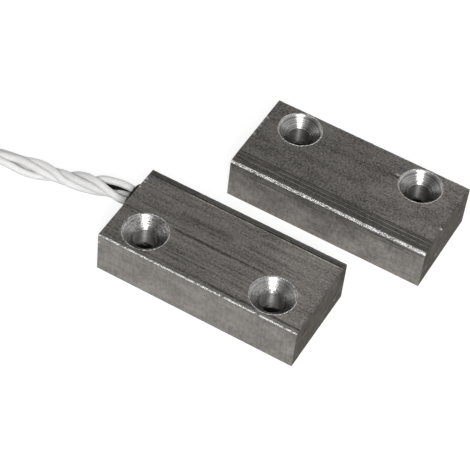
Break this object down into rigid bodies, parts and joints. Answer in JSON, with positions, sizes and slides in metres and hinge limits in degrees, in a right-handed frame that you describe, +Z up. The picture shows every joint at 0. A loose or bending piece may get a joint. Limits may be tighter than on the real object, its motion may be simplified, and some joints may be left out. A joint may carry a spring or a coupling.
{
  "type": "surface magnetic contact",
  "caption": "Surface-mount magnetic contact: an aluminium reed switch block with twisted flying leads, and a matching magnet block, both with countersunk screw holes.",
  "frame": {"origin": "on the surface that both blocks lie on, below the middle of the pair of blocks", "axes": "+X along the blocks from the lead end, +Y from the switch block to the magnet block, +Z up, out of the countersunk faces"},
  "size_m": [0.147, 0.0532, 0.01],
  "materials": {
    "bar_aluminium": "sawn and drawn bar, dull grey with lengthwise lines",
    "black_resin": "cast, half gloss",
    "cast_magnet": "as cast, ground ends",
    "reed_glass": "clear with a green tint",
    "nickel_iron": "rolled and plated",
    "white_insulation": "extruded, smooth",
    "solder": "soldered, bright",
    "tinned_copper": "tinned strands"
  },
  "bodies": {
    "root": {"switch_housing": "bar_aluminium", "magnet_housing": "bar_aluminium", "switch_resin": "black_resin", "magnet_seal": "black_resin", "bar_magnet": "cast_magnet", "reed_glass": "reed_glass", "reed_blade_near": "nickel_iron", "reed_blade_far": "nickel_iron", "reed_wire_near": "white_insulation", "reed_wire_far": "white_insulation", "tamper_loop_wire": "white_insulation", "solder_joint_near": "solder", "solder_joint_far": "solder", "lead_bundle": "white_insulation", "lead_coil": "white_insulation", "lead_tail": "white_insulation", "stripped_end_1": "tinned_copper", "stripped_end_2": "tinned_copper", "stripped_end_3": "tinned_copper", "stripped_end_4": "tinned_copper"}
  },
  "joints": []
}
